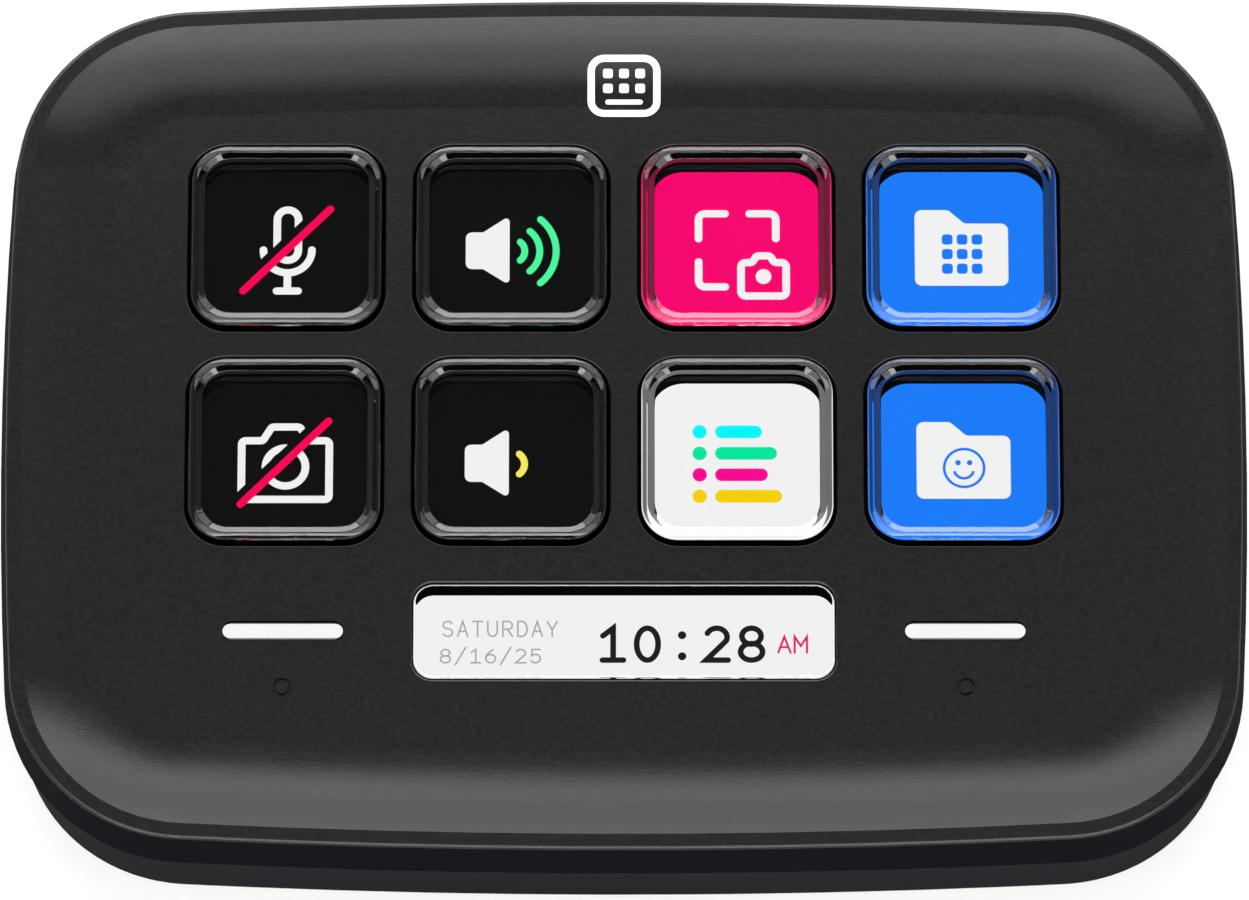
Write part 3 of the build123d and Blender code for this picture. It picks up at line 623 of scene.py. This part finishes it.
# Loudspeakers with three waves and with one.
speaker_corners = [(-4.0, -1.62), (-2.5, -1.62), (-0.2, -3.1), (-0.2, 3.3), (-2.5, 1.76), (-4.0, 1.76)]
speaker_radii = [0.55, 0.12, 0.3, 0.3, 0.12, 0.55]
speaker = [filled(rounded(speaker_corners, speaker_radii))]
wave_pen = 0.6
wave_middle = (0.02, 0.03)
wave_spread = 50
wave_radii = (1.1, 2.4, 3.82)
waves = [stroke(arc(wave_middle, radius, -wave_spread, wave_spread), wave_pen) for radius in wave_radii]
lone_wave_radius = 1.15
lone_wave_spread = 52
lone_wave = stroke(arc((0, 0), lone_wave_radius, -lone_wave_spread, lone_wave_spread), wave_pen)
show("key_2_speaker", speaker, symbol_spots[2], symbol_level, light["white"])
show("key_2_waves", waves, symbol_spots[2], symbol_level, light["green"])
show("key_6_speaker", speaker, symbol_spots[6], symbol_level, light["white"])
show("key_6_wave", [lone_wave], symbol_spots[6], symbol_level, light["yellow"])

# Screen capture: three corner brackets and a small camera.
left, right, top, bottom = -3.25, 3.45, 3.48, -3.25
bracket = 2.3
bracket_bend = 0.55
bracket_paths = [
    [(left, top - bracket), (left, top), (left + bracket, top)],
    [(right - bracket, top), (right, top), (right, top - bracket)],
    [(left, bottom + bracket), (left, bottom), (left + bracket, bottom)],
]
brackets = [stroke(bent(path, bracket_bend), pen) for path in bracket_paths]
small_camera = [(0.42, -4.09), (4.33, -4.09), (4.33, -1.02), (3.3, -1.02), (2.95, -0.4),
                (1.75, -0.4), (1.4, -1.02), (0.42, -1.02)]
small_camera_bend = 0.4
small_lens_middle = (2.37, -2.3)
small_lens_radius = 0.68
capture_camera = [
    stroke(rounded(small_camera, small_camera_bend), pen, closed=True),
    filled(circle(small_lens_middle, small_lens_radius, 41)),
]
show("key_3_brackets", brackets, symbol_spots[3], symbol_level, light["white"])
show("key_3_camera", capture_camera, symbol_spots[3], symbol_level, light["white"])

# Folders, one with a grid of squares and one with a plain smile.
folder_corners = [(-3.95, -3.15), (4.15, -3.15), (4.15, 2.58), (0.35, 2.58), (-1.05, 3.82), (-3.95, 3.82)]
folder_bend = 0.62
folder = [filled(rounded(folder_corners, folder_bend))]
square_half = 0.47
square_bend = 0.28
square_places = [(x, y) for x in (-1.13, 0.16, 1.45) for y in (1.1, -0.24, -1.58)]
squares = [soft_square(x, y, square_half, square_bend) for x, y in square_places]
show("key_4_folder", folder, symbol_spots[4], symbol_level, light["white"])
show("key_4_squares", squares, symbol_spots[4], inlay_level, light["blue"])
smile_pen = 0.24
head_middle = (0.14, -0.36)
head_radius = 1.72
mouth_middle = (0.12, -0.45)
mouth_radius = 0.85
eye_places = ((-0.38, 0.12), (0.62, 0.12))
eye_radius = 0.24
smile = [
    stroke(circle(head_middle, head_radius), smile_pen, closed=True),
    stroke(arc(mouth_middle, mouth_radius, 200, 340), smile_pen),
    *[filled(circle(place, eye_radius, 25)) for place in eye_places],
]
show("key_8_folder", folder, symbol_spots[8], symbol_level, light["white"])
show("key_8_smile", smile, symbol_spots[8], inlay_level, light["blue"])

# Camera, struck through.
big_camera = [(-3.79, -3.36), (3.76, -3.36), (3.76, 1.97), (1.97, 1.97), (1.2, 3.22),
              (-1.2, 3.22), (-1.97, 1.97), (-3.79, 1.97)]
big_camera_bend = 0.35
big_lens_middle = (0, -0.42)
big_lens_radius = 1.72
camera_lines = [
    stroke(rounded(big_camera, big_camera_bend), pen, closed=True),
    stroke(circle(big_lens_middle, big_lens_radius), pen, closed=True),
]
camera_slash = np.array([(-3.85, -3.8), (3.68, 3.75)])
show("key_5_camera", camera_lines, key_spots[5], symbol_level, light["white"])
show("key_5_gap", [stroke(camera_slash + slash_gap, pen)], key_spots[5], inlay_level, light["black"])
show("key_5_slash", [stroke(camera_slash, pen)], key_spots[5], slash_level, light["red"])

# A task list: four coloured dots, each with its line.
list_pitch = 1.95
list_dot_place = -3.2
list_dot_radius = 0.62
list_line_start = -1.3
list_line_pen = 1.15
list_lines = {"cyan": 2.9, "leaf": 4.2, "plum": 3.4, "amber": 4.6}
for row, (tone, length) in enumerate(list_lines.items()):
    y = ((len(list_lines) - 1) / 2 - row) * list_pitch
    line = stroke([(list_line_start, y), (list_line_start + length, y)], list_line_pen)
    dot = filled(circle((list_dot_place, y), list_dot_radius, 33))
    show(f"key_7_row_{row + 1}", [line, dot], symbol_spots[7], symbol_level, light[tone])

# Clock in the info strip, in letters of one pen width on an even pitch. Each letter is a few pen
# lines in a unit square, and a colon is two dots.
bowl = [(0.05, 0), (0.05, 1), *arc((0.58, 0.74), (0.4, 0.26), 90, -90), (0.05, 0.48)]
glyphs = {
    "A": [[(0, 0), (0.5, 1), (1, 0)], [(0.17, 0.34), (0.83, 0.34)]],
    "D": [[(0.05, 0), (0.05, 1), *arc((0.42, 0.5), (0.55, 0.5), 90, -90), (0.05, 0)]],
    "M": [[(0, 0), (0, 1), (0.5, 0.42), (1, 1), (1, 0)]],
    "R": [bowl, [(0.5, 0.48), (1, 0)]],
    "S": [[*arc((0.5, 0.755), (0.46, 0.245), 25, 270), *arc((0.5, 0.255), (0.46, 0.255), 85, -155)]],
    "T": [[(0, 1), (1, 1)], [(0.5, 1), (0.5, 0)]],
    "U": [[(0.03, 1), *arc((0.5, 0.38), (0.47, 0.38), 180, 360), (0.97, 1)]],
    "Y": [[(0, 1), (0.5, 0.44), (1, 1)], [(0.5, 0.44), (0.5, 0)]],
    "0": [[*arc((0.5, 0.5), (0.46, 0.5), 90, 450, 49)[:-1], (0.5, 1)]],
    "1": [[(0.08, 0.76), (0.52, 1), (0.52, 0)], [(0.06, 0), (0.96, 0)]],
    "2": [[*arc((0.5, 0.72), (0.44, 0.28), 155, -25), (0.04, 0), (0.98, 0)]],
    "5": [[(0.9, 1), (0.16, 1), (0.1, 0.53), *arc((0.47, 0.315), (0.47, 0.315), 130, -150)]],
    "6": [[(0.74, 1), *arc((0.96, 0.31), (0.92, 0.6), 130, 180, 13)[:-1],
           *arc((0.5, 0.31), (0.46, 0.31), 180, 540, 49)]],
    "8": [[*arc((0.5, 0.75), (0.41, 0.25), 270, 630, 49)], [*arc((0.5, 0.26), (0.47, 0.26), 90, 450, 49)]],
    "/": [[(0.02, -0.14), (0.98, 1.14)]],
}
colon_levels = (0.12, 0.78)
colon_radius = 0.72


def written(text, start, pitch, size, pen):
    """Letters as pen lines: each glyph's unit square is scaled to the letter's size."""
    drawings = []
    for place, letter in enumerate(text):
        corner = np.array(start) + (place * pitch, 0)
        if letter == ":":
            middles = [corner + (size[0] / 2, level * size[1]) for level in colon_levels]
            drawings += [filled(circle(middle, pen * colon_radius, 33)) for middle in middles]
        else:
            drawings += [stroke(corner + np.array(line) * size, pen) for line in glyphs[letter]]
    return drawings


window_low, window_high = extent("info_window")
window_spot = ((window_low + window_high) / 2)[:2]
strip_half_width = 18.4
strip_half_height = 4.55
strip_bend = 2.1
strip_corners = box_corners(-strip_half_width, -strip_half_height, strip_half_width, strip_half_height)
show("info_strip", [filled(rounded(strip_corners, strip_bend, 13))], window_spot, tile_level, light["white"])
info_texts = {
    "day": dict(text="SATURDAY", start=(-15.54, 0.58), pitch=1.279, size=(0.86, 1.35), pen=0.14),
    "date": dict(text="8/16/25", start=(-15.75, -1.79), pitch=1.29, size=(0.9, 1.2), pen=0.14),
    "clock": dict(text="10:28", start=(-1.97, -1.55), pitch=2.975, size=(2.0, 2.87), pen=0.5),
    "half": dict(text="AM", start=(13.22, -0.875), pitch=1.41, size=(1.05, 1.43), pen=0.19),
}
info_lights = {"day": "grey", "date": "grey", "clock": "ink", "half": "rose"}
for name, letters in info_texts.items():
    show(f"info_{name}", written(**letters), window_spot, symbol_level, light[info_lights[name]])

# ------------------------------------------------------------------ key board, pads and collars
# A second board of the same laminate has pads of conductive rubber under the touch marks and a
# moulded silicone collar under each key. The collar is a thin sloping wall that buckles when the
# key goes down and springs it back; here it is drawn at rest and stays still.
dress("key_board", board_finish)

rubber_finish, nodes = new_finish("pad_rubber")
grain = nodes.noise(0.25, 2.0)
nodes.surface({
    "Base Color": nodes.blend(grain, (0.018, 0.018, 0.019, 1), (0.032, 0.032, 0.033, 1)),
    "Roughness": 0.6 + 0.2 * grain,
})
for node in ("touch_pad_left", "touch_pad_right"):
    dress(node, rubber_finish)

silicone_finish, nodes = new_finish("collar_silicone")
grain = nodes.noise(0.4, 2.0)
nodes.surface({
    "Base Color": nodes.blend(grain, (0.03, 0.03, 0.032, 1), (0.045, 0.045, 0.047, 1)),
    "Roughness": 0.5 + 0.2 * grain,
    "Normal": nodes.relief(grain, 0.01),
})


def around(spot, stations, stretch=0.0, steps=12):
    """Places of a profile carried around a rounded square, and its faces.

    A station is half the square's size, its corner radius and its depth. A corner's arc has its
    centre half - radius out from the middle both ways, and a stretch moves it further out along u.
    Stations that run outwards on top and inwards underneath have their faces outside.
    """
    half, radius, depth = np.array(stations).T[:, :, None]
    quarter = np.linspace(0, np.pi / 2, steps + 1)
    angle = (quarter + np.arange(4)[:, None] * np.pi / 2).ravel()
    corner = np.repeat([[1, 1], [-1, 1], [-1, -1], [1, -1]], steps + 1, axis=0)
    u = spot[0] + (half - radius + stretch) * corner[:, 0] + radius * np.cos(angle)
    v = spot[1] + (half - radius) * corner[:, 1] + radius * np.sin(angle)
    count = len(angle)
    row = np.arange(len(stations) - 1)[:, None] * count
    here = np.arange(count)
    there = np.roll(here, -1)
    faces = np.stack([row + here, row + count + here, row + count + there, row + there], axis=2)
    return on_face(u, v, depth), faces.reshape(-1, 4).tolist()


# From the key down, the wall leans outwards by the taper and bulges most above its middle.
collar_wall = 0.6
collar_taper = 0.6
collar_bulge = 0.22
collar_foot_radius = 4.325
run = np.linspace(0, 1, 9)
for number in key_numbers:
    low, high = extent(f"key_collar_{number}")
    collar_half = (high - low)[0] / 2
    sweep = collar_half - collar_taper * (1 - run) + collar_bulge * np.sin(np.pi * run) * (1 - run)
    radii = collar_foot_radius + sweep - collar_half
    outer = [*zip(sweep, radii, low[2] + (high[2] - low[2]) * run)]
    inner = [(half - collar_wall, radius - collar_wall, depth) for half, radius, depth in outer]
    places, faces = around(key_spots[number], inner[:1] + outer + inner[::-1])
    collar = new_piece(f"collar_{number}", places, faces, [silicone_finish], sharp=40)
    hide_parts(f"key_collar_{number}")
    tuple(on_face(*key_spots[number], high[2]))
    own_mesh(collar)

# ------------------------------------------------------------------ keys
# Two-shot mouldings: polished clear acrylic with a flat well and a raised rim on top and a block
# that reaches down to the display, in a black skirt and flange on a black carrier frame. The
# block's underside mirrors nothing. The ring of flange around it has a painted glow in the colour
# of its tile, which stands in for the tile's light falling on it.
clear_finish, nodes = new_finish("clear_acrylic")
haze = nodes.noise(3.0, 3.0)
nodes.surface({
    "Base Color": nodes.blend(haze, (0.985, 0.988, 0.99, 1), (1.0, 1.0, 1.0, 1)),
    "Roughness": 0.012 * haze,
    "Transmission Weight": 1.0,
    "IOR": 1.49,
})
bonded_finish, nodes = new_finish("bonded_underside")
haze = nodes.noise(3.0, 3.0)
nodes.surface({
    "Base Color": nodes.blend(haze, (0.97, 0.972, 0.975, 1), (0.985, 0.985, 0.985, 1)),
    "Roughness": 0.012 * haze,
    "Transmission Weight": 1.0,
    "IOR": 1.001,
})
frame_finish, nodes = new_finish("carrier_black")
grain = nodes.noise(0.3, 2.0)
nodes.surface({
    "Base Color": nodes.blend(grain, (0.004, 0.004, 0.004, 1), (0.009, 0.009, 0.009, 1)),
    "Roughness": 0.45 + 0.15 * grain,
})
skirt_finish, nodes = new_finish("skirt_black")
film = nodes.noise(1.5, 2.0)
nodes.surface({
    "Base Color": nodes.blend(film, (0.0005, 0.0005, 0.0005, 1), (0.0012, 0.0012, 0.0012, 1)),
    "Roughness": 0.4 + 0.1 * film,
    "Specular IOR Level": 0.0,
})
# A painted glow: the ring of flange around a block gives off a share of its tile's colour and a
# little grey, in place of the light that the tile spills onto it.
painted_spill_share = 0.17
painted_spill_least = 0.01
painted_spill_finishes = {}
for name in dict.fromkeys(tile_lights.values()):
    tone = colour(*light_tones[name])
    painted_spill = tuple(channel * painted_spill_share + painted_spill_least for channel in tone[:3]) + (1.0,)
    painted_spill_finishes[name] = lit_finish(f"spill_{name}", painted_spill, unevenness=0.15)

well_half = 7.05
well_radius = 2.3
well_foot_round = 0.2
rim_lean = np.radians(21.0)
crest_round = 0.25
bevel_lean = np.radians(15.0)
bevel_run = 0.36
edge_round = 0.2
cap_half = 8.225
cap_radius = 3.15
block_half = 7.475
block_radius = 2.775
flange_thickness = 0.7
# The painted glow covers the flange out to this half size.
painted_spill_half = 8.15
air_film = 0.01
face_inset = 0.1

# The top's profile from the well outwards: a round foot, the leaning rim, its round crest, a bevel
# and the round outer edge, each as half sizes and as drops below the cap's highest line. A round
# runs on by its radius times the sine of its angle and drops by its radius times 1 - cosine.
edge = np.linspace(bevel_lean, np.pi / 2, 7)
edge_half = cap_half - edge_round + edge_round * np.sin(edge)
edge_start = crest_round * (1 - np.cos(bevel_lean)) + bevel_run * np.tan(bevel_lean)
edge_drop = edge_start + edge_round * (np.cos(bevel_lean) - np.cos(edge))
crest = np.linspace(-rim_lean, bevel_lean, 9)
crest_half = edge_half[0] - bevel_run + crest_round * (np.sin(crest) - np.sin(bevel_lean))
crest_drop = crest_round * (1 - np.cos(crest))
foot = np.linspace(0, rim_lean, 5)
foot_half = well_half + well_foot_round * np.sin(foot)
rim_climb = (crest_half[0] - foot_half[-1]) * np.tan(rim_lean)
well_drop = crest_drop[0] + rim_climb + well_foot_round * (1 - np.cos(rim_lean))
foot_drop = well_drop - well_foot_round * (1 - np.cos(foot))
top_half = np.concatenate([[well_half - face_inset], foot_half, crest_half, edge_half])
top_drop = np.concatenate([[well_drop], foot_drop, crest_drop, edge_drop])
radius_slope = (cap_radius - well_radius) / (cap_half - well_half)
top_radius = well_radius + (top_half - well_half) * radius_slope


def moulded(name, spot, stations, finishes, finish_of_ring, body="root", stretch=0.0):
    """A profile carried around a rounded square and closed by a flat face above and one below.

    Each ring between two stations has the number of its finish. The upper face has the first
    finish and the lower face has the last.
    """
    places, faces = around(spot, stations, stretch)
    per_ring = len(faces) // (len(stations) - 1)
    upper_face = list(range(per_ring))
    lower_face = [(len(stations) - 1) * per_ring + corner for corner in upper_face[::-1]]
    finish_of_face = np.append(np.repeat(finish_of_ring, per_ring), [0, len(finishes) - 1])
    faces += [upper_face, lower_face]
    return new_piece(name, places, faces, finishes, body, finish_of_face, sharp=30)


# A cap's finishes by number are 0 for its clear top, 1 for skirt, flange and block, 2 for the ring
# around the block with the painted glow of its tile, and 3 for the block's underside.
for number in key_numbers:
    low, high = key_extents[number]
    flange_half = (high - low)[0] / 2
    flange_radius = cap_radius + flange_half - cap_half
    flange_under = extent(f"key_frame_{number}")[0][2] - air_film
    flange_over = flange_under - flange_thickness
    stations = [
        *zip(top_half, top_radius, low[2] + top_drop),
        (cap_half, cap_radius, flange_over),
        (flange_half, flange_radius, flange_over),
        (flange_half, flange_radius, flange_under),
        (painted_spill_half, block_radius + painted_spill_half - block_half, flange_under),
        (block_half, block_radius, flange_under),
        (block_half, block_radius, high[2]),
        (block_half - face_inset, block_radius, high[2]),
    ]
    cap_finishes = [clear_finish, skirt_finish, painted_spill_finishes[tile_lights[number]], bonded_finish]
    finish_of_ring = [0] * (len(top_half) - 1) + [1, 1, 1, 1, 2, 1, 3]
    cap = moulded(f"cap_{number}", key_spots[number], stations, cap_finishes, finish_of_ring,
                  f"key_{number}")
    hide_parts(f"key_cap_{number}")
    dress(f"key_frame_{number}", frame_finish)

# ------------------------------------------------------------------ info window
# A thick lens of the same clear acrylic with blackened walls, moulded in one piece. Its flange,
# level with the flanges of the keys, holds it under the cover.
lens_half = 4.2
lens_stretch = 13.8
lens_radius = 1.7
lens_edge_round = 0.2
lens_flange = 1.1
lens_over = window_low[2]
lens_under = window_high[2]
lens_flange_under = extent(f"key_frame_{key_count}")[0][2] - air_film
lens_flange_over = lens_flange_under - flange_thickness
edge = np.linspace(0, np.pi / 2, 7)
edge_half = lens_half - lens_edge_round + lens_edge_round * np.sin(edge)
edge_depth = lens_over + lens_edge_round - lens_edge_round * np.cos(edge)
stations = [
    (edge_half[0] - face_inset, lens_radius - lens_edge_round, lens_over),
    *zip(edge_half, edge_half - lens_half + lens_radius, edge_depth),
    (lens_half, lens_radius, lens_flange_over),
    (lens_half + lens_flange, lens_radius + lens_flange, lens_flange_over),
    (lens_half + lens_flange, lens_radius + lens_flange, lens_flange_under),
    (lens_half, lens_radius, lens_flange_under),
    (lens_half, lens_radius, lens_under),
    (lens_half - face_inset, lens_radius - face_inset, lens_under),
]
lens_finishes = [clear_finish, skirt_finish, bonded_finish]
finish_of_ring = [0] * len(edge) + [1] * 5 + [2]
lens = moulded("window_lens", window_spot, stations, lens_finishes, finish_of_ring,
               stretch=lens_stretch)
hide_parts("info_window")

# ------------------------------------------------------------------ cover
# One moulding of black plastic that holds the keys and the window by their flanges. Its dished
# face has a fine sparkle texture that turns satin where light grazes it, and its skirt is plain.
cover_finish, nodes = new_finish("cover_texture")
grain = nodes.noise(0.22, 3.0, 0.6)
mottle = nodes.step(nodes.noise(0.45, 3.0, 0.7), 0.35, 0.65)
clouds = nodes.noise(20.0)
face_tone = nodes.blend(mottle, (0.0005, 0.0005, 0.0005, 1), (0.0045, 0.0045, 0.0045, 1))
skirt_tone = nodes.blend(clouds, (0.003, 0.0038, 0.0052, 1), (0.0038, 0.0046, 0.006, 1))
face_limits = (0.3, 0.7)
nodes.surface(
    {
        "Base Color": skirt_tone,
        "Roughness": 0.5,
        "Specular IOR Level": 0.0,
        "Coat Weight": 0.03,
        "Coat Roughness": 0.2,
    },
    over={
        "Base Color": face_tone,
        "Roughness": 0.175 + 0.04 * grain,
        "Normal": nodes.relief(grain, 0.006),
    },
    share=nodes.step(nodes.facing(outward), *face_limits),
)
dress("top_shell", cover_finish)

# ------------------------------------------------------------------ badge
# A plain pictogram of a keypad, printed in white ink where the dish rises at the rear. The ink is
# a thin film that follows the dish's round, an arc that starts level from its flat floor.
ink_finish, nodes = new_finish("white_ink")
coverage = nodes.noise(0.15, 3.0)
nodes.surface({
    "Base Color": nodes.blend(coverage, (0.78, 0.78, 0.78, 1), (0.86, 0.86, 0.86, 1)),
    "Roughness": 0.5 + 0.1 * coverage,
})
ink_thickness = 0.015
dish_floor_depth = 1.0
dish_edge = 29.1
dish_radius = 32.5
badge_spot = (0.0, 30.94)
badge_half_width = 2.85
badge_half_height = 2.5
badge_bend = 1.1
badge_pen = 0.62
badge_columns = (-1.4, 0.0, 1.4)
badge_rows = (1.15, -0.2)
badge_dot_half = 0.42
badge_dot_bend = 0.2
badge_bar_level = -1.45
badge_bar_pen = 0.45


def dense(outline, spacing=0.25):
    """A closed outline walked in even steps, so that it can follow a curved surface."""
    loop = np.vstack([outline, outline[:1]])
    length = np.concatenate([[0], np.cumsum(np.linalg.norm(np.diff(loop, axis=0), axis=1))])
    walk = np.linspace(0, length[-1], int(length[-1] / spacing))[:-1]
    return np.stack([np.interp(walk, length, loop[:, 0]), np.interp(walk, length, loop[:, 1])], axis=1)


badge_corners = box_corners(-badge_half_width, -badge_half_height, badge_half_width, badge_half_height)
badge_parts = [
    stroke(dense(rounded(badge_corners, badge_bend)), badge_pen, closed=True),
    *[soft_square(x, y, badge_dot_half, badge_dot_bend) for x in badge_columns for y in badge_rows],
    stroke([(badge_columns[0], badge_bar_level), (badge_columns[-1], badge_bar_level)], badge_bar_pen),
]
points, faces = merged(badge_parts)
badge_u, badge_v = points.T + np.array(badge_spot)[:, None]
climb = dish_radius - np.sqrt(dish_radius**2 - np.clip(badge_v - dish_edge, 0, None) ** 2)
places = on_face(badge_u, badge_v, dish_floor_depth - climb - ink_thickness)
new_piece("badge", places, faces, [ink_finish])

# ------------------------------------------------------------------ light bars
# Milky acrylic light pipes pushed into two slots, with their ends flush in the cover. The light
# shows as a bright core between shaded edges.
core_half_length = 5.14
core_half_width = 0.63
core_bend = 0.62
bar_finish, nodes = new_finish("bar_edge")
cloud = nodes.noise(2.0, 2.0)
nodes.surface({
    "Base Color": nodes.blend(cloud, (0.045, 0.045, 0.045, 1), (0.06, 0.06, 0.06, 1)),
    "Roughness": 0.2 + 0.1 * cloud,
})
core_corners = box_corners(-core_half_length, -core_half_width, core_half_length, core_half_width)
points, faces = filled(rounded(core_corners, core_bend, 13))
for side in ("left", "right"):
    dress(f"light_bar_{side}", bar_finish)
    low, high = extent(f"light_bar_{side}")
    middle = (low + high) / 2
    places = on_face(middle[0] + points[:, 0], middle[1] + points[:, 1], low[2] - ink_thickness)
    new_piece(f"bar_core_{side}", places, faces, [light["white"]])
